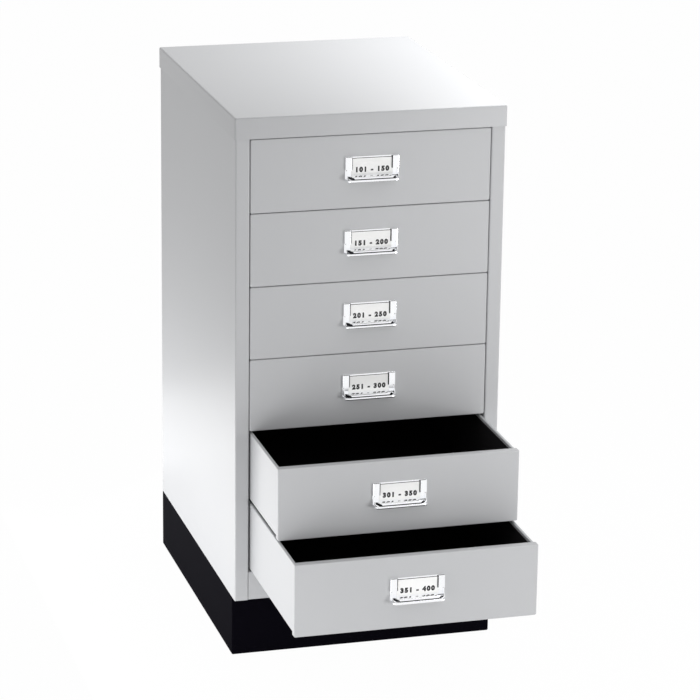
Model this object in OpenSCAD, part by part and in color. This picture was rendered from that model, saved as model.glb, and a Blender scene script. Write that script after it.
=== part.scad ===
// Small free-standing office cabinet of sheet steel with six equal drawers on a black plinth.
// Millimetres. The origin is the middle of the footprint, on the floor. +Z is up, and the
// drawers open towards -Y. Drawer 1 is the top one.

/* [Cabinet] */
// Width over the cap
cab_w = 349; // [320:1:450]
// Depth over the cap
cab_d = 432; // [400:1:500]
// Height from the floor to the top of the cap
cab_h = 710; // [705:1:760]
// Thickness of the sheet steel
sheet = 1; // [0.8:0.1:1.2]
// Height of the cap's turned-down lip
cap_lip = 27; // [20:0.5:27]
// How far the cap stands out past the body on each side
cap_over = 1.5; // [1.5:0.1:3]
// Width of the stile on each side of the drawers
stile_w = 18; // [16:0.5:24]
// Distance from the top of the cap to the top of drawer 1
head = 28; // [28:0.5:32]

/* [Plinth] */
// Height of the plinth
plinth_h = 80; // [40:1:80]
// How far the plinth's front stands back from the drawers
plinth_back = 15; // [10:1:40]
// Width of the plinth's inward flanges
plinth_flange = 25; // [22:1:30]

/* [Drawers] */
// Distance from one drawer to the next
pitch = 94; // [88:0.5:94]
// Gap between two drawer fronts, and above and below them
seam = 0.7; // [0.7:0.1:3]
// Depth of a drawer front's folded edges
front_d = 10; // [10:1:14]
// Depth of a tray, from front to back
tray_d = 397; // [340:1:397]
// Width of a tray's turned-in rim
rim = 4; // [3:0.5:6]
// How far drawer 5 stands open
open_5 = 144; // [0:1:340]
// How far drawer 6 stands open
open_6 = 226; // [0:1:340]

/* [Pull] */
// Width of the card-holder pull
pull_w = 69; // [60:1:80]
// Height of its plate
pull_h = 31; // [28:1:40]
// Distance from the top of a drawer front to the top of its pull
pull_down = 27.5; // [20:0.5:40]
// Width of the card window
window_w = 50; // [40:1:52]
// How far the finger lip stands out from the plate
lip_out = 12.5; // [12:0.5:18]

/* [Hidden] */
$fn = 48;
drawers = 6;
opened = [0, 0, 0, 0, open_5, open_6];

// Finishes
enamel = "#bfc0c2";
black_enamel = "#15151a";
inside_black = "#1b1a1c";
zinc = "#aeb2b5";
chrome = "#dfe2e6";
nylon = "#e9e6dc";
white_card = "#f6f6f4";

// Body shell: its faces and the clearances round it
body_w = cab_w - 2 * cap_over;
body_d = cab_d - 2 * cap_over;
side_x = body_w / 2;
front_y = -body_d / 2;
back_y = body_d / 2;
base_z = plinth_h;
body_top = cab_h - sheet;
fold = 14;               // depth of the folded edges of stiles, rails and panels
upstand = 15;            // height of the bottom panel's edges
cap_corner = 2.5;        // outer corner radius of the cap
opening_w = body_w - 2 * stile_w;

// Drawer front, a shallow pan
side_gap = 0.8;          // gap between a front and a stile
front_w = opening_w - 2 * side_gap;
front_h = pitch - seam;
front_corner = 2;
inner_flange = 10;       // flange folded in at the back of the pan

// Tray
tray_inset = 1.4;        // tray wall inside the front's side edge
tray_w = front_w - 2 * tray_inset;
tray_lift = 1.9;         // tray underside above the lower edge of the front
tray_drop = 2;           // tray rim below the upper edge of the front
rim_lip = 4;             // rim's second fold, pointing down
tray_front_y = front_y + front_d;
tray_back_y = tray_front_y + tray_d;

// Runners and glides
glide_t = 1.5;           // glide pad between a runner and the tray
runner_t = 1.5;
runner_lap = 8.8;        // how far a runner's leg reaches under the tray
runner_web = 18;
runner_x = tray_w / 2 - runner_lap;
wall_x = side_x - sheet; // inner face of a side panel
runner_front_y = front_y + fold + 0.5;
stop_gap = 0.5;          // space behind a closed tray
runner_back_y = tray_back_y + stop_gap + runner_t;
glide_len = 24;
glide_play = 0.5;        // side play of a tray between its guides
guide_w = 9.7;
front_guide_h = 9;
rear_guide_w = 5.2;
rear_guide_h = 12;

// Pull, in its own axes: x across, -y out of the drawer front, z up from the plate's foot
plate_t = 1;
plate_corner = 1.5;
bar_t = 3;               // side bars stand this far off the drawer front
bar_z = 14.5;            // foot of the side bars
bar_drop = 0.6;          // top of the side bars below the top of the plate
card_slot = 0.6;
card_lap = 2;            // card edge held behind each side bar
card_t = 0.4;
card_drop = 2.5;         // top of the card below the top of the plate
window_z = 8;            // lower edge of the card window
lip_t = 0.8;
rim_r = 1.8;             // rolled rim, which runs round the lip at its foot
rim_corner = 6.5;        // outer radius of the rim's corners, seen from above
rim_half = pull_w / 2 - rim_r;
rim_out = plate_t + lip_out - rim_r;
cheek_z = 14;            // top of the cheeks at the plate
cheek_curve = 1.3;
notch_w = 8;             // the lip's corner that is cut off beside a cheek, at the rim
notch_from = 5.4;        // the cut's start in front of the plate
slit_w = 1.5;            // open slit between the lip and the web in its corner
web_z = 6.2;             // top of that web at its back
stud_x = pull_w / 2 - 4.5;
stud_z = 15;
stud_d = 4;
stud_len = 8;
nut_af = 7;
nut_h = 3.2;
card_play = 0.5;

// Rivets that join a front to its tray
rivet_d = 4;
rivet_head = 7;
rivet_head_t = 1.4;
rivet_x = tray_w / 2 - 5.8;
rivet_z = [25, 67];

// Plinth and its bolts
plinth_t = 1.5;
plinth_front_y = front_y + plinth_back;
bolt_d = 8;
bolt_af = 13;
bolt_head_h = 5.3;
bolt_nut_h = 6.5;
bolt_len = 12;
bolt_x = side_x - 15;
bolt_y = [plinth_front_y + 13.5, back_y - 16.5];

drawer_parts = ["tray", "front", "pull", "card", "pull_nuts", "rivets", "rear_glides"];

// Heights of drawer k: the lower edge of its front, and the top of the runner under it
function front_z(k) = cab_h - head - k * pitch + seam;
function runner_z(k) = front_z(k) + tray_lift - glide_t;

// Across-corners size of a hexagon with the given size across its flats
function hex_d(af) = af / cos(30);

// A box between its lowest and highest corners
module box(lo, hi) { translate(lo) cube(hi - lo); }

// The children on the right, and their mirror image on the left
module both_sides() { for (side = [0, 1]) mirror([side, 0, 0]) children(); }

// A shape drawn in y and z, carried along x and centred on the middle plane
module along_x(length) {
    translate([-length / 2, 0, 0]) rotate([90, 0, 90]) linear_extrude(length) children();
}

// A rounded rectangle centred on x, standing on the x axis
module rounded_plate(w, h, r) {
    translate([-w / 2, r]) square([w, h - 2 * r]);
    translate([-w / 2 + r, 0]) square([w - 2 * r, h]);
    for (x = [-w / 2 + r, w / 2 - r], y = [r, h - r]) translate([x, y]) circle(r);
}

// A rounded plate standing up in x and z, from y = from to y = to
module upright_plate(w, h, r, from, to) {
    translate([0, to, 0]) rotate([90, 0, 0]) linear_extrude(to - from) rounded_plate(w, h, r);
}

// A round bar along y
module bar_y(d, from, to) { translate([0, to, 0]) rotate([90, 0, 0]) cylinder(d = d, h = to - from); }

/* ---- carcass ---- */

// Right side panel: one sheet folded into the stile, the top flange and the back flange
module side_panel() {
    color(enamel) {
        box([wall_x, front_y, base_z], [side_x, back_y, body_top]);
        box([side_x - stile_w, front_y, base_z], [side_x, front_y + sheet, body_top]);
        box([side_x - stile_w, front_y, base_z], [side_x - stile_w + sheet, front_y + fold, body_top]);
        box([side_x - fold, front_y, body_top - sheet], [side_x, back_y, body_top]);
        box([side_x - fold, back_y - sheet, base_z], [side_x, back_y, body_top]);
    }
}

module back_panel() {
    color(enamel) {
        box([-wall_x, back_y - 2 * sheet, base_z + sheet], [wall_x, back_y - sheet, body_top - sheet]);
        box([-wall_x, back_y - sheet - fold, body_top - 2 * sheet],
            [wall_x, back_y - sheet, body_top - sheet]);
    }
}

// Bottom panel: a tray with low edges, bolted down on the plinth
module bottom_panel() {
    y0 = front_y + fold;
    y1 = back_y - 2 * sheet;
    color(enamel) difference() {
        union() {
            box([-wall_x, y0, base_z], [wall_x, back_y - sheet, base_z + sheet]);
            both_sides() box([wall_x - sheet, y0, base_z], [wall_x, y1, base_z + upstand]);
            for (y = [y0, y1 - sheet]) box([-wall_x, y, base_z], [wall_x, y + sheet, base_z + upstand]);
        }
        at_plinth_bolts() translate([0, 0, base_z - 1]) cylinder(d = bolt_d, h = sheet + 2);
    }
}

// Plan of the cap, grown inwards by inset
module cap_plan(inset, r) {
    w = cab_w - 2 * inset;
    d = cab_d - 2 * inset;
    translate([0, -d / 2]) rounded_plate(w, d, r);
}

// Cap: a lid with a lip all round, resting on the top flanges of the sides
module top_cap() {
    color(enamel) difference() {
        translate([0, 0, cab_h - cap_lip]) linear_extrude(cap_lip) cap_plan(0, cap_corner);
        translate([0, 0, cab_h - cap_lip - 1]) linear_extrude(cap_lip + 1 - sheet)
            cap_plan(sheet, cap_corner - sheet);
    }
}

// Front rail between the stiles: a channel from z0 to z1
module rail(z0, z1) {
    half = opening_w / 2;
    color(enamel) {
        box([-half, front_y, z0], [half, front_y + sheet, z1]);
        for (z = [z0, z1 - sheet]) box([-half, front_y, z], [half, front_y + fold, z + sheet]);
    }
}

// Right runner for one drawer: its leg's upper face is at z = 0
module runner() {
    box([runner_x, runner_front_y, -runner_t], [wall_x, runner_back_y, 0]);
    box([wall_x - runner_t, runner_front_y, 0], [wall_x, runner_back_y, runner_web]);
    box([runner_x + 2, runner_back_y - runner_t, 0], [runner_x + 14, runner_back_y, 8]);
}

// Right-hand runners: one under each drawer, and one that holds drawer 1 down
module runners() {
    color(zinc) for (k = [0 : drawers]) translate([0, 0, runner_z(k)]) runner();
}

// Nylon glides at the front of the runners: a pad under the tray and a guide beside it
module front_glides() {
    guide_x = tray_w / 2 + glide_play;
    color(nylon) for (k = [1 : drawers]) translate([0, runner_front_y, runner_z(k)]) both_sides() {
        box([runner_x + 1, 0, 0], [guide_x + guide_w, glide_len, glide_t]);
        box([guide_x, 0, 0], [guide_x + guide_w, glide_len, front_guide_h]);
    }
}

/* ---- plinth ---- */

module at_plinth_bolts() { for (x = [-bolt_x, bolt_x], y = bolt_y) translate([x, y, 0]) children(); }

// Plinth: four walls with flanges turned in at the top and at the floor
module plinth() {
    lo = [-side_x, plinth_front_y, 0];
    hi = [side_x, back_y, plinth_h];
    wall = [plinth_t, plinth_t, 0];
    shelf = [plinth_flange, plinth_flange, 0];
    color(black_enamel) difference() {
        box(lo, hi);
        box(lo + wall + [0, 0, plinth_t], hi - wall - [0, 0, plinth_t]);
        box(lo + shelf - [0, 0, 1], hi - shelf + [0, 0, 1]);
        at_plinth_bolts() translate([0, 0, plinth_h - plinth_t - 1]) cylinder(d = bolt_d, h = plinth_t + 2);
    }
}

module plinth_bolts() {
    color(zinc) at_plinth_bolts() translate([0, 0, base_z + sheet]) {
        cylinder(d = hex_d(bolt_af), h = bolt_head_h, $fn = 6);
        translate([0, 0, -bolt_len]) cylinder(d = bolt_d, h = bolt_len);
    }
}

// Weld nuts under the plinth's upper flange
module plinth_nuts() {
    top = plinth_h - plinth_t;
    color(zinc) at_plinth_bolts() translate([0, 0, top - bolt_nut_h]) difference() {
        cylinder(d = hex_d(bolt_af), h = bolt_nut_h, $fn = 6);
        translate([0, 0, -1]) cylinder(d = bolt_d, h = bolt_nut_h + 2);
    }
}

/* ---- drawers: each module draws its piece of drawer k where it stands ---- */

// Moves the children from the closed place of drawer k's front, at its lower edge, to where it is
module in_drawer(k) { translate([0, front_y - opened[k - 1], front_z(k)]) children(); }

// The rivets' places on the back of a drawer front
module at_rivets() { both_sides() for (z = rivet_z) translate([rivet_x, front_d, z]) children(); }

// Front: a pan with its edges folded back and then inwards
module drawer_front(k) {
    color(enamel) in_drawer(k) difference() {
        upright_plate(front_w, front_h, front_corner, 0, front_d);
        translate([0, 0, sheet])
            upright_plate(front_w - 2 * sheet, front_h - 2 * sheet, front_corner - sheet,
                          sheet, front_d - sheet);
        translate([0, 0, inner_flange])
            upright_plate(front_w - 2 * inner_flange, front_h - 2 * inner_flange, sheet,
                          front_d - 2 * sheet, front_d + sheet);
        translate([0, 0, pull_foot()]) both_sides() translate([stud_x, 0, stud_z])
            bar_y(stud_d, -1, 2 * sheet);
        at_rivets() bar_y(rivet_d, -2 * sheet, sheet);
    }
}

// Tray: floor and four walls, with a rim turned in and down all round
module tray(k) {
    half = tray_w / 2;
    y0 = front_d;
    y1 = front_d + tray_d;
    z0 = tray_lift;
    z1 = front_h - tray_drop;
    color(inside_black) in_drawer(k) difference() {
        box([-half, y0, z0], [half, y1, z1]);
        box([-half + sheet, y0 + sheet, z0 + sheet], [half - sheet, y1 - sheet, z1 - rim_lip - sheet]);
        box([-half + rim, y0 + rim, z0 + sheet], [half - rim, y1 - rim, z1 + 1]);
        rim_hollow(half, y0, y1, z1);
        at_rivets() bar_y(rivet_d, -sheet, 2 * sheet);
    }
}

// The space between a tray's wall and the down-turned edge of its rim
module rim_hollow(half, y0, y1, z1) {
    low = z1 - rim_lip - 2 * sheet;
    difference() {
        box([-half + sheet, y0 + sheet, low], [half - sheet, y1 - sheet, z1 - sheet]);
        box([-half + rim - sheet, y0 + rim - sheet, low - 1], [half - rim + sheet, y1 - rim + sheet, z1]);
    }
}

// Height of a pull's foot above the lower edge of the drawer front
function pull_foot() = front_h - pull_down - pull_h;

module in_pull(k) { in_drawer(k) translate([0, 0, pull_foot()]) children(); }

// Quarter of an ellipse from the plate, forward and down to the rim, shrunk by inset
function lip_arc(inset, turns) = [for (t = turns)
    [-plate_t - (lip_out - rim_r - inset) * sin(t), rim_r + (window_z - rim_r - inset) * cos(t)]];

// Plan of the space inside the rim's middle line, grown by grow: straight at the plate, round in front
module rim_plan(grow) {
    half = rim_half + grow;
    out = rim_out + grow;
    intersection() {
        translate([0, -out]) rounded_plate(2 * half, 2 * lip_out, rim_corner - rim_r + grow);
        translate([-half, -out]) square([2 * half, out - plate_t / 2]);
    }
}

// Rolled rim: a round bar along each side, round the corners and across the front
module rim_bar() {
    corner_x = rim_half + rim_r - rim_corner;
    corner_y = rim_corner - rim_r - rim_out;
    translate([0, 0, rim_r]) {
        along_x(2 * corner_x) translate([-rim_out, 0]) circle(rim_r);
        both_sides() {
            translate([rim_half, 0, 0]) bar_y(2 * rim_r, corner_y, -plate_t / 2);
            translate([corner_x, corner_y, 0]) rotate(-90) rotate_extrude(angle = 90)
                translate([rim_corner - rim_r, 0]) circle(rim_r);
        }
    }
}

// Cheeks: a band that stands on the rim, as high as cheek_z at the plate and falling to the rim in front
module cheeks() {
    steps = [0 : 0.1 : 1];
    intersection() {
        linear_extrude(cheek_z) difference() {
            rim_plan(lip_t / 2);
            rim_plan(-lip_t / 2);
        }
        along_x(2 * pull_w) polygon(concat(
            [[0, rim_r], [0, cheek_z]],
            [for (s = steps) [-plate_t - s * (rim_out - plate_t + lip_t),
                              rim_r + (cheek_z - rim_r) * pow(1 - s, cheek_curve)]]));
    }
}

// Plan of the lip's right-hand corner outside the slanted cut, drawn in from the cut by inset
module lip_corner_plan(inset) {
    cut_x = rim_half - notch_w + inset;
    polygon([[rim_half + inset, -plate_t - notch_from], [cut_x, -rim_out], [cut_x, -rim_out - rim_r],
             [pull_w, -rim_out - rim_r], [pull_w, -plate_t - notch_from]]);
}

// Finger lip, without its corners
module finger_lip() {
    turns = [0 : 10 : 90];
    back_turns = [90 : -10 : 0];
    difference() {
        intersection() {
            along_x(2 * rim_half) polygon(concat(lip_arc(0, turns), lip_arc(lip_t, back_turns)));
            linear_extrude(window_z) rim_plan(0);
        }
        both_sides() translate([0, 0, -1]) linear_extrude(window_z + 2) lip_corner_plan(0);
    }
}

// Corner webs: flat sheet that slopes down to the rim in each corner, a slit away from the lip
module corner_webs() {
    back = -plate_t - notch_from;
    intersection() {
        along_x(2 * rim_half) polygon([[back, web_z], [-rim_out, rim_r + lip_t], [-rim_out, rim_r],
                                       [back, web_z - lip_t]]);
        linear_extrude(window_z) intersection() {
            rim_plan(0);
            both_sides() lip_corner_plan(slit_w);
        }
    }
}

// Pull: a plate with two bars that hold the card, and a finger lip below with its rim and cheeks
module pull(k) {
    color(chrome) in_pull(k) {
        upright_plate(pull_w, pull_h, plate_corner, -plate_t, 0);
        both_sides() difference() {
            box([window_w / 2, -bar_t, bar_z], [pull_w / 2, -plate_t, pull_h - bar_drop]);
            box([window_w / 2 - 1, -plate_t - card_slot, bar_z - 1],
                [window_w / 2 + card_lap, -plate_t, pull_h + 1]);
        }
        finger_lip();
        corner_webs();
        cheeks();
        rim_bar();
        both_sides() translate([stud_x, 0, stud_z]) bar_y(stud_d, -plate_t, stud_len);
    }
}

// Card, slid in behind the side bars and standing on the lip
module card(k) {
    half = window_w / 2 + card_lap - card_play;
    color(white_card) in_pull(k)
        box([-half, -plate_t - card_t, window_z], [half, -plate_t, pull_h - card_drop]);
}

module pull_nuts(k) {
    color(zinc) in_pull(k) both_sides() translate([stud_x, sheet, stud_z]) difference() {
        translate([0, nut_h, 0]) rotate([90, 0, 0]) cylinder(d = hex_d(nut_af), h = nut_h, $fn = 6);
        bar_y(stud_d, -1, nut_h + 1);
    }
}

// Flat-headed rivets through the front's flange and the tray's front wall
module rivets(k) {
    color(zinc) in_drawer(k) at_rivets() {
        bar_y(rivet_d, -sheet, sheet);
        bar_y(rivet_head, sheet, sheet + rivet_head_t);
        bar_y(rivet_head, -sheet - rivet_head_t, -sheet);
    }
}

// Nylon glides at the tray's back corners: a pad under it and a guide beside it
module rear_glides(k) {
    half = tray_w / 2;
    y0 = front_d + tray_d - glide_len;
    z0 = tray_lift - glide_t;
    color(nylon) in_drawer(k) both_sides() {
        box([half - runner_lap + 1, y0, z0], [half + rear_guide_w, y0 + glide_len, tray_lift]);
        box([half, y0, z0], [half + rear_guide_w, y0 + glide_len, z0 + rear_guide_h]);
    }
}

// Draws the named piece of drawer k
module drawer_piece(k, p) {
    if (p == "tray") tray(k);
    if (p == "front") drawer_front(k);
    if (p == "pull") pull(k);
    if (p == "card") card(k);
    if (p == "pull_nuts") pull_nuts(k);
    if (p == "rivets") rivets(k);
    if (p == "rear_glides") rear_glides(k);
}

mirror([1, 0, 0]) side_panel();  // left_side
side_panel();  // right_side
back_panel();
bottom_panel();
top_cap();
rail(cab_h - cap_lip, body_top - sheet);  // top_rail
rail(base_z, front_z(drawers) - seam);  // bottom_rail
mirror([1, 0, 0]) runners();  // left_runners
runners();  // right_runners
front_glides();
plinth();
plinth_bolts();
plinth_nuts();
for (k = [1 : drawers]) for (p = drawer_parts)
    drawer_piece(k, p);
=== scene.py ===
# The looks of a six-drawer steel office cabinet: folded sheet with real bends, chromed pulls,
# numbered cards, and the studio that it stands in. Metres, in the frame of the packed model:
# the origin is on the floor under the middle of the cap, +Z is up, drawers open towards -Y.

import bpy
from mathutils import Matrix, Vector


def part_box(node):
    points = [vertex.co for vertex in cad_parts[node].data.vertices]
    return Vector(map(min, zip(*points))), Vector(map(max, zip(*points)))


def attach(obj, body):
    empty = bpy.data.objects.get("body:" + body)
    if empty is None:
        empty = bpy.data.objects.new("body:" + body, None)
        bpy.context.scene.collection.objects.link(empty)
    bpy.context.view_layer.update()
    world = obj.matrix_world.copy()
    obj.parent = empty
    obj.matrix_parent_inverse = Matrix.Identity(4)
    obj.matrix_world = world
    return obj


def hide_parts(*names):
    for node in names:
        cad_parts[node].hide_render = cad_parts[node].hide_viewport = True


bl_info = {
    "name": "Steel Drawer Cabinet",
    "version": (1, 0, 0),
    "blender": (4, 5, 0),
    "location": "View3D > Sidebar > Cabinet",
    "description": "Dresses the packed drawer cabinet with folded sheet, chromed pulls and cards",
    "category": "Add Mesh",
}

from math import cos, radians, sin

import bmesh
import bpy
import numpy as np
from mathutils import Matrix, Vector

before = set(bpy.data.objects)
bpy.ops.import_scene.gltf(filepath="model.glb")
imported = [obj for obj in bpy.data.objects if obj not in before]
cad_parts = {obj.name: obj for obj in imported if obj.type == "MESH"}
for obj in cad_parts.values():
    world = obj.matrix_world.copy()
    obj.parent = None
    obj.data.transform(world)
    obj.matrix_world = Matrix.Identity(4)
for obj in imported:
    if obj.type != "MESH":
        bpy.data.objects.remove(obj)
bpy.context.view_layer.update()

MM = 0.001
DRAWERS = sum(name.endswith("_front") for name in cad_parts)

# Mesh fineness
BEND_STEPS = 6  # facets in a bend
CORNER_STEPS = 6  # facets in a corner of an outline
LIP_STEPS = 14  # points round a pull's finger lip
TUBE_SIDES = 12  # facets round a round bar
RIM_STEP = 1 / 4  # longest step along a pull's rim, as a share of its corner's radius
HOLD = 0.1 * MM  # narrow strip beside each bend, which keeps the flat next to it flat
LEAST_CORNER = 0.3 * MM  # corner radius of an outline that has shrunk past its own radius
FLAT_FROM = 30 * MM  # a pan's middle is one flat face from this far inside its edge
FLAT_SHARE = 1 / 3  # and that of a small plate from this share of its height
SHARP_ANGLE = radians(32)  # edges that turn further than this are drawn sharp
WELD = 0.002 * MM  # points closer than this are made one

# Shape of a pull's sheet
CHEEK_POWER = 1.3  # how steeply the cheeks fall towards the rim: 1 is a straight line
INNER_FOLD = 1 / 4  # radius of a side bar's folds beside the card, as a share of its outer fold's
PLATE_EDGES = (0.1, 0.5)  # radius of the plate's back and front edge, as shares of its thickness

# Directions that an outline's width, its height and its section's depth take in the frame
FACING_FRONT = np.array([(1, 0, 0), (0, 0, 1), (0, 1, 0)], float)
FACING_UP = np.array([(1, 0, 0), (0, 1, 0), (0, 0, 1)], float)
FACING_DOWN = np.array([(1, 0, 0), (0, 1, 0), (0, 0, -1)], float)
STANDING_OUT = np.array([(1, 0, 0), (0, 0, 1), (0, -1, 0)], float)

# Camera
SENSOR_WIDTH = 36  # mm
CLIP_END = 100  # metres


# ---- colour and material ----


def linear(hex_colour):
    """Linear RGBA of an sRGB hex colour: c / 12.92 in the darks, else ((c + 0.055) / 1.055) ** 2.4."""
    srgb = np.array([int(hex_colour[i : i + 2], 16) / 255 for i in (1, 3, 5)])
    light = np.where(srgb <= 0.04045, srgb / 12.92, ((srgb + 0.055) / 1.055) ** 2.4)
    return (*light.tolist(), 1.0)


WHITE = linear("#FFFFFF")


def add_node(tree, kind, inputs=None, **settings):
    """Adds a node, sets its properties, and gives each named input a value or another node's output."""
    node = tree.nodes.new(kind)
    for name, value in settings.items():
        setattr(node, name, value)
    for name, value in (inputs or {}).items():
        if isinstance(value, bpy.types.NodeSocket):
            tree.links.new(value, node.inputs[name])
        else:
            node.inputs[name].default_value = value
    return node


def start_material(name):
    """An empty node material, with the Object coordinates that its patterns read."""
    material = bpy.data.materials.new(name)
    material.use_nodes = True
    tree = material.node_tree
    tree.nodes.clear()
    return material, tree, add_node(tree, "ShaderNodeTexCoord").outputs["Object"]


def finish_material(tree, shader):
    """Joins the shader to the material's output."""
    add_node(tree, "ShaderNodeOutputMaterial", {"Surface": shader.outputs[0]})


def stoved_enamel(name, colour, roughness, shine, peel_depth):
    """Stoved enamel, sprayed and baked on sheet steel: satin or matt, one even colour with the faintest
    clouding, and a fine orange peel that softens every highlight."""
    cloud_size = 160 * MM
    peel_size = 2.4 * MM  # real peel is about 1 mm; drawn coarser so that it shows
    material, tree, place = start_material(name)
    cloud = add_node(tree, "ShaderNodeTexNoise", {"Vector": place, "Scale": 1 / cloud_size, "Detail": 3.0})
    shade = add_node(
        tree, "ShaderNodeMapRange", {"Value": cloud.outputs[0], "To Min": 0.975, "To Max": 1.025}
    )
    tone = add_node(tree, "ShaderNodeHueSaturation", {"Color": tuple(colour), "Value": shade.outputs[0]})
    gloss = add_node(
        tree,
        "ShaderNodeMapRange",
        {"Value": cloud.outputs[0], "To Min": roughness - 0.03, "To Max": roughness + 0.03},
    )
    peel = add_node(tree, "ShaderNodeTexNoise", {"Vector": place, "Scale": 1 / peel_size, "Detail": 1.5})
    bump = add_node(
        tree, "ShaderNodeBump", {"Height": peel.outputs[0], "Strength": 0.5, "Distance": peel_depth}
    )
    shader = add_node(
        tree,
        "ShaderNodeBsdfPrincipled",
        {
            "Base Color": tone.outputs[0],
            "Roughness": gloss.outputs[0],
            "IOR": 1.5,
            "Specular IOR Level": shine,
            "Normal": bump.outputs[0],
        },
    )
    finish_material(tree, shader)
    return material


def bright_chrome(name, colour):
    """Decorative chrome over nickel on pressed steel: a clear mirror, bent a little by soft waves."""
    wave_size = 7 * MM
    haze_size = 1.2 * MM
    material, tree, place = start_material(name)
    haze = add_node(tree, "ShaderNodeTexNoise", {"Vector": place, "Scale": 1 / haze_size, "Detail": 2.0})
    gloss = add_node(tree, "ShaderNodeMapRange", {"Value": haze.outputs[0], "To Min": 0.05, "To Max": 0.13})
    wave = add_node(tree, "ShaderNodeTexNoise", {"Vector": place, "Scale": 1 / wave_size, "Detail": 1.0})
    bump = add_node(
        tree, "ShaderNodeBump", {"Height": wave.outputs[0], "Strength": 0.35, "Distance": 0.05 * MM}
    )
    shader = add_node(
        tree,
        "ShaderNodeBsdfPrincipled",
        {
            "Base Color": tuple(colour),
            "Metallic": 1.0,
            "Roughness": gloss.outputs[0],
            "Normal": bump.outputs[0],
        },
    )
    finish_material(tree, shader)
    return material


def painted_shade_nickel(name, colour):
    """Painted shade for the hollows and gaps of the pulls: dark, grey, dull metal, much darker than the bare
    nickel under the chrome where chrome doesn't reach, so that it stands for the shadow there.
    """
    grain_size = 0.8 * MM
    material, tree, place = start_material(name)
    grain = add_node(tree, "ShaderNodeTexNoise", {"Vector": place, "Scale": 1 / grain_size, "Detail": 2.0})
    gloss = add_node(tree, "ShaderNodeMapRange", {"Value": grain.outputs[0], "To Min": 0.45, "To Max": 0.65})
    shader = add_node(
        tree,
        "ShaderNodeBsdfPrincipled",
        {"Base Color": tuple(colour), "Metallic": 1.0, "Roughness": gloss.outputs[0]},
    )
    finish_material(tree, shader)
    return material


def zinc_plate(name, colour):
    """Bright zinc plate on rolled steel: pale blue-grey metal, finely streaked along the rolling."""
    streak_size = 0.9 * MM
    streak_stretch = 12
    material, tree, place = start_material(name)
    along = add_node(tree, "ShaderNodeMapping", {"Vector": place, "Scale": (1, 1 / streak_stretch, 1)})
    streak = add_node(
        tree, "ShaderNodeTexNoise", {"Vector": along.outputs[0], "Scale": 1 / streak_size, "Detail": 3.0}
    )
    shade = add_node(tree, "ShaderNodeMapRange", {"Value": streak.outputs[0], "To Min": 0.9, "To Max": 1.08})
    tone = add_node(tree, "ShaderNodeHueSaturation", {"Color": tuple(colour), "Value": shade.outputs[0]})
    gloss = add_node(tree, "ShaderNodeMapRange", {"Value": streak.outputs[0], "To Min": 0.28, "To Max": 0.42})
    shader = add_node(
        tree,
        "ShaderNodeBsdfPrincipled",
        {"Base Color": tone.outputs[0], "Metallic": 1.0, "Roughness": gloss.outputs[0]},
    )
    finish_material(tree, shader)
    return material


def moulded_nylon(name, colour):
    """Moulded natural nylon: milky and waxy, with light let in a little way, and a faint mould grain."""
    grain_size = 0.7 * MM
    material, tree, place = start_material(name)
    grain = add_node(tree, "ShaderNodeTexNoise", {"Vector": place, "Scale": 1 / grain_size, "Detail": 2.0})
    bump = add_node(
        tree, "ShaderNodeBump", {"Height": grain.outputs[0], "Strength": 0.3, "Distance": 0.03 * MM}
    )
    shader = add_node(
        tree,
        "ShaderNodeBsdfPrincipled",
        {
            "Base Color": tuple(colour),
            "Roughness": 0.42,
            "IOR": 1.53,
            "Subsurface Weight": 0.25,
            "Subsurface Radius": (1.0, 0.8, 0.6),
            "Subsurface Scale": 1.5 * MM,
            "Normal": bump.outputs[0],
        },
    )
    finish_material(tree, shader)
    return material


def index_card(name, colour):
    """White index card: matt, smooth board with a trace of fibre."""
    fibre_size = 0.5 * MM
    material, tree, place = start_material(name)
    fibre = add_node(tree, "ShaderNodeTexNoise", {"Vector": place, "Scale": 1 / fibre_size, "Detail": 4.0})
    shade = add_node(tree, "ShaderNodeMapRange", {"Value": fibre.outputs[0], "To Min": 0.97, "To Max": 1.02})
    tone = add_node(tree, "ShaderNodeHueSaturation", {"Color": tuple(colour), "Value": shade.outputs[0]})
    bump = add_node(
        tree, "ShaderNodeBump", {"Height": fibre.outputs[0], "Strength": 0.3, "Distance": 0.02 * MM}
    )
    shader = add_node(
        tree,
        "ShaderNodeBsdfPrincipled",
        {"Base Color": tone.outputs[0], "Roughness": 0.8, "IOR": 1.46, "Normal": bump.outputs[0]},
    )
    finish_material(tree, shader)
    return material


def printed_ink(name, colour):
    """Black printing ink on card: nearly flat black, with the card's fibre just thinning it."""
    fibre_size = 0.4 * MM
    material, tree, place = start_material(name)
    fibre = add_node(tree, "ShaderNodeTexNoise", {"Vector": place, "Scale": 1 / fibre_size, "Detail": 3.0})
    shade = add_node(tree, "ShaderNodeMapRange", {"Value": fibre.outputs[0], "To Min": 0.7, "To Max": 1.6})
    tone = add_node(tree, "ShaderNodeHueSaturation", {"Color": tuple(colour), "Value": shade.outputs[0]})
    shader = add_node(
        tree,
        "ShaderNodeBsdfPrincipled",
        {"Base Color": tone.outputs[0], "Roughness": 0.6, "IOR": 1.5},
    )
    finish_material(tree, shader)
    return material


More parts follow.
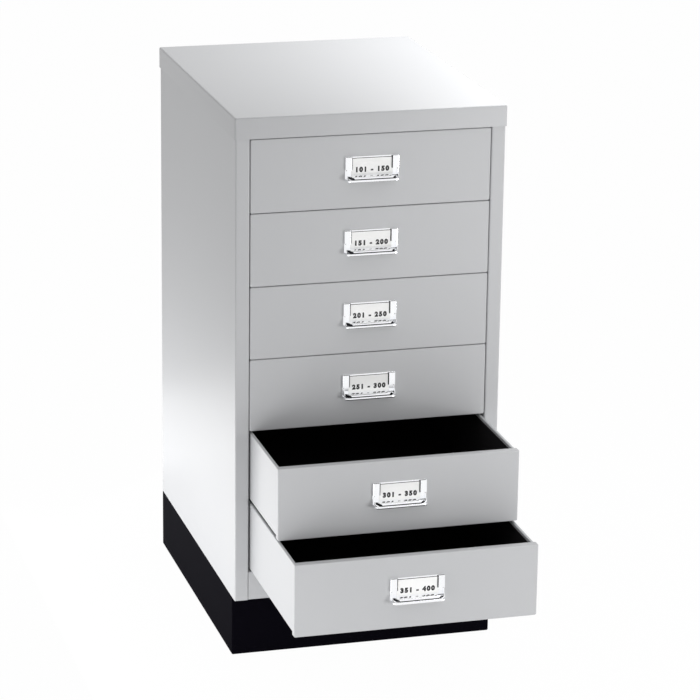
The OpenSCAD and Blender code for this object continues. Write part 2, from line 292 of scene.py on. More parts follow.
MAKERS = {
    "light_enamel": lambda look: stoved_enamel(
        "light_grey_stoved_enamel", look.enamel, roughness=0.42, shine=0.5, peel_depth=0.02 * MM
    ),
    "black_enamel": lambda look: stoved_enamel(
        "matt_black_stoved_enamel", look.plinth, roughness=0.85, shine=0.02, peel_depth=0.02 * MM
    ),
    # the trays' inner faces are drawn near-black
    "inside_black": lambda look: stoved_enamel(
        "matt_black_drawer_inside", look.inside, roughness=0.6, shine=0.3, peel_depth=0.03 * MM
    ),
    "chrome": lambda look: bright_chrome("bright_chrome_plate", look.chrome),
    # painted shade: the dark metal in the pulls' hollows and gaps
    "painted_shade": lambda look: painted_shade_nickel("painted_shade_nickel_plate", look.painted_shade),
    "zinc": lambda look: zinc_plate("bright_zinc_plate", look.zinc),
    "nylon": lambda look: moulded_nylon("moulded_natural_nylon", look.nylon),
    "card": lambda look: index_card("white_index_card", look.card),
    "ink": lambda look: printed_ink("black_printing_ink", look.ink),
}
made_materials = {}


def finish(name):
    """The material of this finish, made the first time that it is asked for."""
    if name not in made_materials:
        made_materials[name] = MAKERS[name](bpy.context.scene.cabinet_finishes)
    return made_materials[name]


# ---- surfaces ----


def left_of(direction):
    """The direction turned a quarter turn to the left."""
    return np.stack([-direction[..., 1], direction[..., 0]], -1)


def bent_line(corners, bends):
    """A line through the corners, with an arc of the given radius in each inner one.

    At a corner the heading turns from one leg's to the next in even steps. With c the arc's centre, r its
    radius and n the left-hand normal of the heading, the arc's points are c - r n where the line turns
    left and c + r n where it turns right. Returns the points and their left-hand normals.
    """
    corners = np.asarray(corners, float)
    legs = np.diff(corners, axis=0)
    legs /= np.linalg.norm(legs, axis=1, keepdims=True)
    points, normals = [corners[:1]], [left_of(legs[:1])]
    for corner, into, out, radius in zip(corners[1:-1], legs[:-1], legs[1:], bends):
        turn = np.arctan2(into[0] * out[1] - into[1] * out[0], into @ out)
        reach = radius * np.tan(abs(turn) / 2)
        heading = np.arctan2(into[1], into[0]) + np.linspace(0, turn, BEND_STEPS + 1)
        normal = left_of(np.stack([np.cos(heading), np.sin(heading)], -1))
        side = np.sign(turn) * radius
        arc = corner - into * reach + side * (normal[0] - normal)
        points += [arc[:1] - into * HOLD, arc, arc[-1:] + out * HOLD]
        normals += [normal[:1], normal, normal[-1:]]
    points.append(corners[-1:])
    normals.append(left_of(legs[-1:]))
    return np.concatenate(points), np.concatenate(normals)


def sheet_section(corners, bends, thickness):
    """The closed cross-section of a folded sheet: the outer face follows the bent line, and the inner face
    lies on its left at the sheet's thickness. The inner face comes first and runs backwards."""
    outer, normals = bent_line(corners, bends)
    inner = outer + thickness * normals
    return np.concatenate([inner[::-1], outer])


def round_outline(section, width, height, corner):
    """A section of (inset, depth) points carried round a rectangle with round corners.

    At inset d the outline is the rectangle made smaller by d on every side, and its corner radius is
    smaller by d too, but never under the least radius. Each quarter of the outline is the corner's centre
    plus its radius along an angle that runs through 90 degrees. Returns a row of points per section point.
    """
    inset, depth = (column[:, None] for column in np.asarray(section, float).T)
    radius = np.maximum(corner - inset, LEAST_CORNER)
    angle = np.radians(np.arange(4)[:, None] * 90 + np.linspace(0, 90, CORNER_STEPS + 1)).ravel()
    side_x, side_y = (np.repeat(s, CORNER_STEPS + 1) for s in ((1, -1, -1, 1), (1, 1, -1, -1)))
    x = side_x * (width / 2 - inset - radius) + radius * np.cos(angle)
    y = side_y * (height / 2 - inset - radius) + radius * np.sin(angle)
    return np.stack([x, y, np.broadcast_to(depth, x.shape)], -1)


def straight_run(section, start, end):
    """A section carried straight from start to end: rows of two points, its own two coordinates and then
    the distance along the run."""
    section = np.asarray(section, float)
    rows = np.repeat(section[:, None, :], 2, axis=1)
    along = np.broadcast_to(np.array([start, end])[None, :, None], (len(section), 2, 1))
    return np.concatenate([rows, along], -1)


def tube(path, normals, height, radius):
    """A round bar along a flat path: around each path point, the radius turns through the path's own
    left-hand normal and the upright direction."""
    angle = np.linspace(0, 2 * np.pi, TUBE_SIDES, endpoint=False)[None, :, None]
    level = radius * np.cos(angle) * normals[:, None, :] + path[:, None, :]
    up = np.broadcast_to(height + radius * np.sin(angle), (len(path), TUBE_SIDES, 1))
    return np.concatenate([level, up], -1)


def put(points, axes, at):
    """Points turned onto the given axes and moved to a place in the frame."""
    return points @ axes + np.asarray(at, float)


def shell(points, wrap_rows=False, wrap_columns=True, paint=0):
    """A closed skin over a grid of points. Neighbouring rows and columns are joined by four-sided faces.
    Unless both wrap, one flat face closes each open end: the first and last row, or, where the rows wrap,
    the first and last column. paint is the material of all faces, or an array that stretches over them."""
    rows, columns = points.shape[:2]
    index = np.arange(rows * columns).reshape(rows, columns)
    below = np.roll(index, -1, axis=0)[: rows if wrap_rows else rows - 1]
    here = index[: len(below)]
    keep = columns if wrap_columns else columns - 1
    quads = np.stack([here, np.roll(here, -1, 1), np.roll(below, -1, 1), below], -1)[:, :keep]
    colours = np.broadcast_to(paint, quads.shape[:2])
    faces = quads.reshape(-1, 4).tolist()
    ends = np.empty(0)
    if not (wrap_rows and wrap_columns):
        edges = index if wrap_columns else index.T
        faces += [edges[0].tolist(), edges[-1].tolist()]
        ends = colours[[0, -1], 0]
    return points.reshape(-1, 3), faces, np.concatenate([colours.ravel(), ends]).astype(int)


def mesh_shell(mesh, axes, at, paint=0):
    """A finished mesh as a shell, turned onto the axes and moved to its place."""
    points = np.empty(len(mesh.vertices) * 3)
    mesh.vertices.foreach_get("co", points)
    faces = [list(face.vertices) for face in mesh.polygons]
    return put(points.reshape(-1, 3), axes, at), faces, np.full(len(faces), paint)


def make_piece(name, shells, finishes, body, slot, *nodes):
    """One piece from its shells. It rides on a body and stands for the CAD nodes."""
    starts = np.cumsum([0] + [len(points) for points, _, _ in shells])
    faces = [[start + i for i in face] for start, (_, part, _) in zip(starts, shells) for face in part]
    mesh = bpy.data.meshes.new(name)
    mesh.from_pydata(np.concatenate([points for points, _, _ in shells]), [], faces)
    mesh.polygons.foreach_set("material_index", np.concatenate([colours for _, _, colours in shells]))
    for kind in finishes:
        mesh.materials.append(finish(kind))
    work = bmesh.new()
    work.from_mesh(mesh)
    bmesh.ops.remove_doubles(work, verts=work.verts, dist=WELD)
    bmesh.ops.recalc_face_normals(work, faces=work.faces)
    work.to_mesh(mesh)
    work.free()
    mesh.shade_smooth()
    mesh.set_sharp_from_angle(angle=SHARP_ANGLE)
    piece = bpy.data.objects.new(name, mesh)
    bpy.context.scene.collection.objects.link(piece)
    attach(piece, body)
    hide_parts(*nodes)


def box_of(node):
    """Lowest corner, highest corner and middle of a CAD node."""
    low, high = (np.array(corner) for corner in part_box(node))
    return low, high, (low + high) / 2


def slab(low, high, paint=0):
    """A flat plate between two corners."""
    section = [(low[0], low[1]), (high[0], low[1]), (high[0], high[1]), (low[0], high[1])]
    return shell(straight_run(section, low[2], high[2]), wrap_rows=True, wrap_columns=False, paint=paint)


# ---- carcass ----


def side_panel(side, name, sizes):
    """A side panel's plan is one bent line: stile return, stile, side, back flange. It is carried up from
    the plinth, and the top flange lies across its upper end."""
    low, high, _ = box_of(name)
    inner, outer = (low[0], high[0]) if side > 0 else (-high[0], -low[0])
    corners = [
        (inner, low[1] + sizes.fold),
        (inner, low[1]),
        (outer, low[1]),
        (outer, high[1]),
        (outer - sizes.fold, high[1]),
    ]
    plan = sheet_section(corners, (sizes.bend, sizes.bend, sizes.bend), sizes.sheet)
    mirror = np.array([side, 1, 1])
    upright = straight_run(plan, low[2], high[2]) * mirror
    flange_low = np.array([outer - sizes.fold, low[1] + sizes.fold, high[2] - sizes.sheet])
    flange_high = np.array([outer - sizes.sheet, high[1] - sizes.sheet, high[2]])
    points, faces, colours = slab(flange_low, flange_high)
    return [shell(upright, wrap_rows=True, wrap_columns=False), (points * mirror, faces, colours)]


class CABINET_OT_side_panels(bpy.types.Operator):
    """Folds the left and the right side panel"""

    bl_idname = "cabinet.side_panels"
    bl_label = "Side Panels"

    def execute(self, context):
        sizes = context.scene.cabinet_sizes
        for side, name in ((-1, "left_side"), (1, "right_side")):
            shells = side_panel(side, name, sizes)
            make_piece(f"{name}_sheet", shells, ["light_enamel"], "carcass", "light_enamel", name)
        return {"FINISHED"}


class CABINET_OT_rails(bpy.types.Operator):
    """Folds the rails above drawer 1 and below the last drawer"""

    bl_idname = "cabinet.rails"
    bl_label = "Rails"

    def execute(self, context):
        sizes = context.scene.cabinet_sizes
        for name in ("top_rail", "bottom_rail"):
            low, high, _ = box_of(name)
            corners = [(high[1], high[2]), (low[1], high[2]), (low[1], low[2]), (high[1], low[2])]
            section = sheet_section(corners, (sizes.bend, sizes.bend), sizes.sheet)
            run = straight_run(section, low[0], high[0])[..., [2, 0, 1]]
            shells = [shell(run, wrap_rows=True, wrap_columns=False)]
            make_piece(f"{name}_sheet", shells, ["light_enamel"], "carcass", "light_enamel", name)
        return {"FINISHED"}


class CABINET_OT_cap(bpy.types.Operator):
    """Folds the cap: a flat top with a lip turned down all round"""

    bl_idname = "cabinet.cap"
    bl_label = "Cap"

    def execute(self, context):
        sizes = context.scene.cabinet_sizes
        low, high, middle = box_of("top_cap")
        lip = high[2] - low[2]
        section = sheet_section([(0, lip), (0, 0), (FLAT_FROM, 0)], (sizes.cap_bend,), sizes.sheet)
        grid = round_outline(section, high[0] - low[0], high[1] - low[1], sizes.cap_corner)
        grid = put(grid, FACING_DOWN, (middle[0], middle[1], high[2]))
        make_piece("top_cap_sheet", [shell(grid)], ["light_enamel"], "carcass", "light_enamel", "top_cap")
        return {"FINISHED"}


class CABINET_OT_plinth(bpy.types.Operator):
    """Folds the black plinth: four walls with flanges turned in at the top and at the floor"""

    bl_idname = "cabinet.plinth"
    bl_label = "Plinth"

    def execute(self, context):
        sizes = context.scene.cabinet_sizes
        low, high, middle = box_of("plinth")
        tall, flange = high[2] - low[2], sizes.plinth_flange
        corners = [(flange, tall), (0, tall), (0, 0), (flange, 0)]
        section = sheet_section(corners, (sizes.plinth_bend, sizes.plinth_bend), sizes.plinth_sheet)
        grid = round_outline(section, high[0] - low[0], high[1] - low[1], sizes.plinth_corner)
        grid = put(grid, FACING_UP, (middle[0], middle[1], low[2]))
        shells = [shell(grid, wrap_rows=True)]
        make_piece("plinth_frame", shells, ["black_enamel"], "carcass", "black_enamel", "plinth")
        return {"FINISHED"}


class CABINET_OT_fittings(bpy.types.Operator):
    """Gives the panels, runners, glides, bolts, nuts and rivets of the packed model their finishes"""

    bl_idname = "cabinet.fittings"
    bl_label = "Fittings"

    def execute(self, context):
        finishes = {
            "back_panel": "light_enamel",
            "bottom_panel": "light_enamel",
            "runners": "zinc",
            "glides": "nylon",
            "bolts": "zinc",
            "nuts": "zinc",
            "rivets": "zinc",
        }
        for name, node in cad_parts.items():
            for ending, kind in finishes.items():
                if name.endswith(ending):
                    for place in node.material_slots:
                        place.material = finish(kind)
        return {"FINISHED"}


# ---- drawers ----


class CABINET_OT_trays(bpy.types.Operator):
    """Folds the drawer trays, grey outside and black inside, each with a rim turned in and down"""

    bl_idname = "cabinet.trays"
    bl_label = "Trays"

    def execute(self, context):
        sizes = context.scene.cabinet_sizes
        for k in range(1, DRAWERS + 1):
            node = f"drawer_{k}_tray"
            low, high, middle = box_of(node)
            tall, rim = high[2] - low[2], sizes.rim
            corners = [(rim, tall - sizes.rim_lip), (rim, tall), (0, tall), (0, 0), (FLAT_FROM, 0)]
            bends = (sizes.rim_bend, sizes.rim_bend, sizes.bend)
            section = sheet_section(corners, bends, sizes.sheet)
            grid = round_outline(section, high[0] - low[0], high[1] - low[1], sizes.tray_corner)
            grid = put(grid, FACING_UP, (middle[0], middle[1], low[2]))
            inner_gaps = len(section) // 2 - 1  # the first half of the section is the inside
            paint = np.where(np.arange(len(section) - 1) < inner_gaps, 1, 0)[:, None]
            finishes = ["light_enamel", "inside_black"]
            shells = [shell(grid, paint=paint)]
            make_piece(f"{node}_sheet", shells, finishes, f"drawer_{k}", "tray_enamel", node)
        return {"FINISHED"}


class CABINET_OT_fronts(bpy.types.Operator):
    """Folds the drawer fronts: pans with soft edges, and a flange turned in behind"""

    bl_idname = "cabinet.fronts"
    bl_label = "Fronts"

    def execute(self, context):
        sizes = context.scene.cabinet_sizes
        for k in range(1, DRAWERS + 1):
            node = f"drawer_{k}_front"
            low, high, middle = box_of(node)
            deep, flange = high[1] - low[1], sizes.front_flange
            corners = [(flange, deep), (0, deep), (0, 0), (FLAT_FROM, 0)]
            section = sheet_section(corners, (sizes.bend, sizes.front_bend), sizes.sheet)
            grid = round_outline(section, high[0] - low[0], high[2] - low[2], sizes.front_corner)
            grid = put(grid, FACING_FRONT, (middle[0], low[1], middle[2]))
            shells = [shell(grid)]
            make_piece(f"{node}_sheet", shells, ["light_enamel"], f"drawer_{k}", "light_enamel", node)
        return {"FINISHED"}


# ---- pulls and cards ----


def divided(line, longest):
    """A line of points with more of them set in evenly where two are further apart than that."""
    gaps = np.linalg.norm(np.diff(line[:, :2], axis=0), axis=1)
    counts = np.ceil(gaps / longest).astype(int)
    place = np.concatenate([i + np.arange(n) / n for i, n in enumerate(counts)] + [[len(line) - 1]])
    return np.stack([np.interp(place, np.arange(len(line)), column) for column in line.T], -1)


def lip_line(reach, rise, low, turns):
    """A quarter of an ellipse in (y, z), from the plate outwards and down: y goes out by reach times the
    sine of the turn, and z stands over low by rise times its cosine."""
    return np.stack([-reach * np.sin(turns), low + rise * np.cos(turns)], -1)


def lip_shell(pull):
    """The finger lip: sheet on a quarter of an ellipse, with a smaller one inside it. Past the cut's start
    its ends draw in towards the middle, in proportion to how far it has come forward."""
    turns = np.linspace(0, np.pi / 2, LIP_STEPS)
    reach, foot = pull.lip_reach - pull.rim_radius - pull.groove, pull.lip_foot
    outer = lip_line(reach, pull.window_low - foot, foot, turns)
    inner = lip_line(reach - pull.sheet, pull.window_low - foot - pull.sheet, foot, turns)
    forward = np.clip((-outer[:, 0] - pull.cut_from) / (reach - pull.cut_from), 0, 1)
    half = pull.width / 2 - pull.rim_radius - pull.cut * forward
    y, z = (np.stack([o, o, i, i], -1) for o, i in ((outer[:, 0], inner[:, 0]), (outer[:, 1], inner[:, 1])))
    points = np.stack([half[:, None] * [-1, 1, 1, -1], y - pull.plate, z], -1)
    # only the lip's outer face is chrome; its ends and inner face are painted shade
    return shell(points, paint=np.array([0, 1, 1, 1]))


def groove_shell(pull):
    """The groove between the lip and its rim: a short wall set back under the lip's edge, coloured as painted
    shade for the groove's shadow line.
    """
    front = -pull.plate - pull.lip_reach + pull.rim_radius + 2 * pull.groove
    half = pull.width / 2 - pull.rim_radius - pull.cut
    low, high = (-half, front, pull.rim_radius), (half, front + pull.sheet, pull.lip_foot + pull.sheet)
    return slab(low, high, paint=1)


def rim_shells(pull):
    """The rolled rim, which runs from the plate round the lip's foot and back; the cheeks, a band of sheet
    that stands on it; and a flat web in each corner, a slit away from the lip.

    The band's height over the rim's middle is its height at the plate times share to the cheek power, where
    share is 1 at the plate and 0 in front. A web slopes down evenly from its back edge to the rim in front.
    """
    rim, corner = pull.rim_radius, (pull.rim_corner, pull.rim_corner)
    half, out = pull.width / 2 - rim, pull.plate + pull.lip_reach - rim
    corners = [(-half, -pull.plate), (-half, -out), (half, -out), (half, -pull.plate)]
    line = divided(np.hstack(bent_line(corners, corner)), pull.rim_corner * RIM_STEP)
    path, normals = line[:, :2], line[:, 2:]
    share = np.clip((path[:, 1] + out) / (out - pull.plate), 0, 1)
    top = rim + (pull.cheek_top - rim) * share**CHEEK_POWER
    side = normals * pull.sheet / 2
    level = np.stack([path - side, path - side, path + side, path + side], 1)
    foot = np.full(len(path), rim)
    height = np.stack([foot, top, top, foot], 1)[..., None]
    shaded = np.zeros((len(path) - 1, 4))
    # painted shade on the cheeks' inner side over their front share, where the hollow's shadow falls
    shaded[:, 2] = share[1:] < pull.shaded_cheek  # the third side of the band faces the lip
    shells = [shell(tube(path, normals, rim, rim)), shell(np.concatenate([level, height], -1), paint=shaded)]
    back = -pull.plate - pull.cut_from
    cut = np.array([(half + pull.slit, back), (half + pull.slit - pull.cut, -out)])
    start = back + (out + back) * pull.slit / -pull.cut
    arc = path[(path[:, 0] > cut[1, 0]) & (path[:, 1] < start)][::-1]
    plan = np.concatenate([[(half, start)], arc, cut[1:]])
    fall = (pull.web_top - rim - pull.sheet) / (out + back)
    upper = pull.web_top - fall * (back - plan[:, 1])
    web = np.stack([np.column_stack([plan, upper - pull.sheet]), np.column_stack([plan, upper])])
    # painted shade on every side of a web but the first, so the slit beside it reads dark
    shaded = np.arange(len(plan)) > 0
    return shells + [shell(web * np.array([mirror, 1, 1]), paint=shaded) for mirror in (-1, 1)]


def bar_shells(pull):
    """The two side bars that hold the card: sheet that comes forward at the plate's edge, crosses over
    towards the card, and steps down to a ledge beside it, in painted shade that draws a dark line along the
    card."""
    edge, ledge = pull.width / 2, pull.window / 2
    step, low = ledge + pull.ledge, pull.bar - pull.ledge_drop
    corners = [
        (ledge, -pull.plate - pull.slot),
        (ledge, -low),
        (step, -low),
        (step, -pull.bar),
        (edge, -pull.bar),
        (edge, -pull.plate),
    ]
    sharp = pull.bar_bend * INNER_FOLD
    section = sheet_section(corners, (sharp, sharp, sharp, pull.bar_bend), pull.bar_sheet)
    # the ledge's faces are painted shade
    in_ledge = section[:, 0] < step + WELD
    run = straight_run(section, pull.bar_foot, pull.height - pull.bar_drop)
    return [
        shell(
            run * np.array([side, 1, 1]),
            wrap_rows=True,
            wrap_columns=False,
            paint=np.where(in_ledge & np.roll(in_ledge, -1), 1, 0)[:, None],
        )
        for side in (-1, 1)
    ]


def plate_shell(pull):
    """The plate, with soft edges."""
    deep = pull.height * FLAT_SHARE
    bends = [pull.plate * share for share in PLATE_EDGES]
    edge, _ = bent_line([(deep, 0), (0, 0), (0, pull.plate), (deep, pull.plate)], bends)
    grid = round_outline(edge, pull.width, pull.height, pull.plate_corner)
    return shell(put(grid, STANDING_OUT, (0, 0, pull.height / 2)))


def pull_shells(pull):
    """The whole pull in its own axes: x across, -y out of the drawer front, z up from the plate's foot."""
    shells = [plate_shell(pull), lip_shell(pull), groove_shell(pull)]
    shells += bar_shells(pull) + rim_shells(pull)
    # a thin sheet of painted shade on the plate under the lip, dark through the slits at its ends
    front, half = -pull.plate - pull.shade_sheet, pull.width / 2 - 2 * pull.rim_radius
    shells.append(slab((-half, front, 0), (half, -pull.plate, pull.window_low - pull.sheet), paint=1))
    # and a thin strip of painted shadow along the top edge of the card
    half, low = pull.window / 2, pull.height - pull.card_drop
    shells.append(slab((-half, front, low), (half, -pull.plate, low + pull.shade), paint=1))
    for side in (-1, 1):
        path = np.array([(0, 0), (0, pull.stud_length)], float)
        normals = np.array([(1, 0), (1, 0)], float)
        stud = tube(path, normals, pull.stud_up, pull.stud_radius) + [side * pull.stud_out, 0, 0]
        shells.append(shell(stud))
    return shells


class CABINET_OT_pulls(bpy.types.Operator):
    """Makes the chromed card-holder pulls: plate, side bars, finger lip with a rolled rim, studs"""

    bl_idname = "cabinet.pulls"
    bl_label = "Pulls"

    def execute(self, context):
        pull = context.scene.cabinet_pull
        for k in range(1, DRAWERS + 1):
            node = f"drawer_{k}_pull"
            low, _, middle = box_of(node)
            face, _, _ = box_of(f"drawer_{k}_front")
            at = np.array([middle[0], face[1], low[2]])
            shells = [(points + at, faces, colours) for points, faces, colours in pull_shells(pull)]
            make_piece(f"{node}_pressing", shells, ["chrome", "painted_shade"], f"drawer_{k}", "chrome", node)
        return {"FINISHED"}


def number_mesh(text, sizes):
    """Bold digits of size 1 as a thin closed mesh, centred on its own origin, in x and y."""
    curve = bpy.data.curves.new("numbers", "FONT")
    curve.body = text
    curve.size = 1
    curve.space_character = sizes.spacing
    curve.offset = sizes.boldness
    curve.extrude = sizes.ink / sizes.digit
    curve.align_x = "CENTER"
    curve.align_y = "CENTER"
    writing = bpy.data.objects.new("numbers", curve)
    mesh = bpy.data.meshes.new_from_object(writing)
    bpy.data.objects.remove(writing)
    bpy.data.curves.remove(curve)
    return mesh


class CABINET_OT_cards(bpy.types.Operator):
    """Cuts the cards and prints a plain range of numbers on each"""

    bl_idname = "cabinet.cards"
    bl_label = "Cards"

    def execute(self, context):
        sizes = context.scene.cabinet_card
        for k in range(1, DRAWERS + 1):
            node = f"drawer_{k}_card"
            low, high, middle = box_of(node)
            thick, wide, tall = high[1] - low[1], high[0] - low[0], high[2] - low[2]
            flat = tall * FLAT_SHARE
            edge = [(flat, thick), (0, thick), (0, 0), (flat, 0)]
            board = round_outline(edge, wide, tall, sizes.corner)
            board = put(board, FACING_FRONT, (middle[0], low[1], middle[2]))
            first = sizes.first + (k - 1) * sizes.step
            mesh = number_mesh(f"{first} - {first + sizes.step - 1}", sizes)
            line = low[2] + tall * sizes.line
            numbers = mesh_shell(mesh, STANDING_OUT * sizes.digit, (middle[0], low[1], line), paint=1)
            bpy.data.meshes.remove(mesh)
            shells = [shell(board), numbers]
            make_piece(f"{node}_printed", shells, ["card", "ink"], f"drawer_{k}", "card", node)
        return {"FINISHED"}


# ---- studio ----

# Soft lamps: name, place, point that it faces, turn about that line, width and height, power in watts
LAMPS = (
    ("front_lamp", (1.0, -1.6, 0.25), (0.0, -0.22, 0.35), 0, (0.7, 0.5), 9.8),
    ("left_lamp", (-0.4, -0.2, 0.1), (-0.17, -0.2, 0.16), 0, (1.2, 0.2), 1.6),
    ("back_lamp", (-0.4, 0.3, 0.13), (-0.17, 0.0, 0.13), radians(9), (0.9, 0.12), 0.29),
    ("top_lamp", (0.36, 0.05, 1.06), (0.1, 0.0, 0.71), 0, (0.8, 0.3), 3.83),
)


def seen_ray(tree):
    """1 for a ray from the camera, a reflection or a see-through surface, and 0 for one that lights."""
    path = add_node(tree, "ShaderNodeLightPath")
    shine = add_node(
        tree,
        "ShaderNodeMath",
        {0: path.outputs["Is Glossy Ray"], 1: path.outputs["Is Transmission Ray"]},
        operation="MAXIMUM",
    )
    either = add_node(
        tree, "ShaderNodeMath", {0: path.outputs["Is Camera Ray"], 1: shine.outputs[0]}, operation="MAXIMUM"
    )
    return either.outputs[0]


def studio_floor(look):
    """A wide pale floor: seen by the camera it is mostly its own white, so it fades into the background,
    and the rest is lit paint that keeps the cabinet's soft shadow. From underneath it is clear, and it
    lies a hair below the plinth, so the cabinet's underside shows whole."""
    material, tree, _ = start_material("studio_floor")
    paint = add_node(tree, "ShaderNodeBsdfDiffuse", {"Color": tuple(look.floor)})
    white = add_node(tree, "ShaderNodeEmission", {"Color": WHITE, "Strength": 1.0})
    share = add_node(tree, "ShaderNodeMath", {0: seen_ray(tree), 1: look.floor_white}, operation="MULTIPLY")
    mix = add_node(
        tree, "ShaderNodeMixShader", {0: share.outputs[0], 1: paint.outputs[0], 2: white.outputs[0]}
    )
    under = add_node(tree, "ShaderNodeNewGeometry").outputs["Backfacing"]
    clear = add_node(tree, "ShaderNodeBsdfTransparent")
    sided = add_node(tree, "ShaderNodeMixShader", {0: under, 1: mix.outputs[0], 2: clear.outputs[0]})
    finish_material(tree, sided)
    mesh = bpy.data.meshes.new("floor")
    reach, level = look.floor_reach, -look.floor_drop
    corners = [(-reach, -reach, level), (reach, -reach, level), (reach, reach, level), (-reach, reach, level)]
    mesh.from_pydata(corners, [], [(0, 1, 2, 3)])
    mesh.materials.append(material)
    floor = bpy.data.objects.new("floor", mesh)
    bpy.context.scene.collection.objects.link(floor)


def studio_world(look):
    """White where the camera, a reflection or a see-through surface meets it, and a plain soft fill
    everywhere else."""
    world = bpy.data.worlds.new("studio")
    world.use_nodes = True
    tree = world.node_tree
    tree.nodes.clear()
    fill = add_node(tree, "ShaderNodeBackground", {"Color": tuple(look.fill), "Strength": look.fill_strength})
    white = add_node(tree, "ShaderNodeBackground", {"Color": WHITE, "Strength": 1.0})
    mix = add_node(tree, "ShaderNodeMixShader", {0: seen_ray(tree), 1: fill.outputs[0], 2: white.outputs[0]})
    add_node(tree, "ShaderNodeOutputWorld", {"Surface": mix.outputs[0]})
    bpy.context.scene.world = world


def soft_box(name, place, aim, turn, size, watts):
    """A rectangular soft lamp at one point that faces another, turned about the line between them."""
    lamp = bpy.data.lights.new(name, "AREA")
    lamp.shape = "RECTANGLE"
    lamp.size, lamp.size_y = size
    lamp.energy = watts
    holder = bpy.data.objects.new(name, lamp)
    facing = (Vector(aim) - Vector(place)).to_track_quat("-Z", "Y").to_matrix().to_4x4()
    holder.matrix_world = Matrix.Translation(place) @ facing @ Matrix.Rotation(turn, 4, "Z")
    holder.visible_camera = False
    bpy.context.scene.collection.objects.link(holder)


def studio_camera(view):
    """A camera at the given place, turned by yaw about the upright, tipped down by pitch, then rolled.

    Ahead is (sin yaw cos pitch, cos yaw cos pitch, -sin pitch), right is (cos yaw, -sin yaw, 0), and up is
    their cross product; the roll then turns right and up about ahead."""
    ahead = Vector((sin(view.yaw) * cos(view.pitch), cos(view.yaw) * cos(view.pitch), -sin(view.pitch)))
    level = Vector((cos(view.yaw), -sin(view.yaw), 0))
    upright = level.cross(ahead)
    right = cos(view.roll) * level + sin(view.roll) * upright
    up = cos(view.roll) * upright - sin(view.roll) * level
    camera = bpy.data.cameras.new("camera")
    camera.lens = view.lens
    camera.sensor_width = SENSOR_WIDTH
    camera.clip_end = CLIP_END
    holder = bpy.data.objects.new("camera", camera)
    turn = Matrix((right, up, -ahead)).transposed().to_4x4()
    holder.matrix_world = Matrix.Translation(view.place) @ turn
    bpy.context.scene.collection.objects.link(holder)
    bpy.context.scene.camera = holder


class CABINET_OT_stage(bpy.types.Operator):
    """Sets up the floor, the white studio, its soft lamps and the camera"""

    bl_idname = "cabinet.stage"
    bl_label = "Stage"

    def execute(self, context):
        scene = context.scene
        studio_floor(scene.cabinet_studio)
        studio_world(scene.cabinet_studio)
        studio_camera(scene.cabinet_camera)
        for lamp in LAMPS:
            soft_box(*lamp)
        scene.view_settings.view_transform = "Standard"
        return {"FINISHED"}


# ---- settings ----


def length(name, description, millimetres):
    """A length that the user can change."""
    return bpy.props.FloatProperty(
        name=name,
        description=description,
        default=millimetres * MM,
        min=0,
        unit="LENGTH",
        subtype="DISTANCE",
        precision=4,
    )


def colour(name, description, hex_colour):
    """A colour that the user can change."""
    return bpy.props.FloatVectorProperty(
        name=name,
        description=description,
        default=linear(hex_colour),
        size=4,
        min=0,
        max=1,
        subtype="COLOR",
    )


class CabinetSizes(bpy.types.PropertyGroup):
    """Sizes of the folded sheet"""

    sheet: length("Sheet", "Thickness of the sheet steel", 1)
    bend: length("Bend", "Outer radius of the folds in the panels, rails and trays", 1.8)
    fold: length("Fold", "Depth of the side panels' folded edges", 14)
    cap_bend: length("Cap Bend", "Outer radius of the fold round the cap", 2.2)
    cap_corner: length("Cap Corner", "Radius of the cap's corners, seen from above", 2.5)
    front_bend: length("Front Bend", "Outer radius of the fold round a drawer front", 1.2)
    front_corner: length("Front Corner", "Radius of a drawer front's corners", 2)
    front_flange: length("Front Flange", "Width of the flange behind a drawer front", 10)
    rim: length("Rim", "Width of a tray's turned-in rim", 4)
    rim_lip: length("Rim Lip", "Height of the rim's edge that points down", 4)
    rim_bend: length("Rim Bend", "Outer radius of the rim's folds", 1.5)
    tray_corner: length("Tray Corner", "Radius of a tray's corners, seen from above", 1.2)
    plinth_sheet: length("Plinth Sheet", "Thickness of the plinth's steel", 1.5)
    plinth_bend: length("Plinth Bend", "Outer radius of the plinth's folds", 2.2)
    plinth_corner: length("Plinth Corner", "Radius of the plinth's corners, seen from above", 1.5)
    plinth_flange: length("Plinth Flange", "Width of the plinth's inward flanges", 25)


